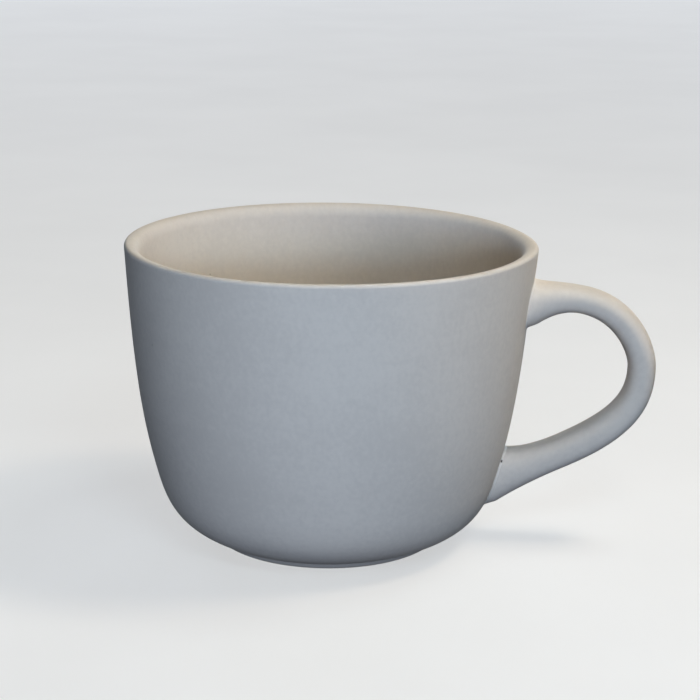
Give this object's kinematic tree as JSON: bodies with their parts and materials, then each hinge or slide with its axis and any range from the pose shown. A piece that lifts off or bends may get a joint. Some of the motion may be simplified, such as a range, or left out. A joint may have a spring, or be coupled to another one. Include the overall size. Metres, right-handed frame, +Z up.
{
  "type": "latte cup",
  "caption": "Wide bisque ceramic latte mug with a rounded heel, a low foot ring and a D-shaped side handle luted on with slip.",
  "frame": {"origin": "on the plane the foot stands on, midway between the rim's far side and the handle's outer bend; the cup's own axis is 17 mm along -X from it", "axes": "+Z up out of the mouth, +X from the cup towards the handle, +Y to the left of someone who looks along +X"},
  "size_m": [0.1462, 0.112, 0.0837],
  "materials": {
    "bisque": "unglazed bisque, matte and chalky off-white",
    "dried_slip": "fired casting slip, matte, a little lighter than the body"
  },
  "bodies": {
    "root": {"cup_body": "bisque", "handle": "bisque", "upper_slip_joint": "dried_slip", "lower_slip_joint": "dried_slip"}
  },
  "joints": []
}
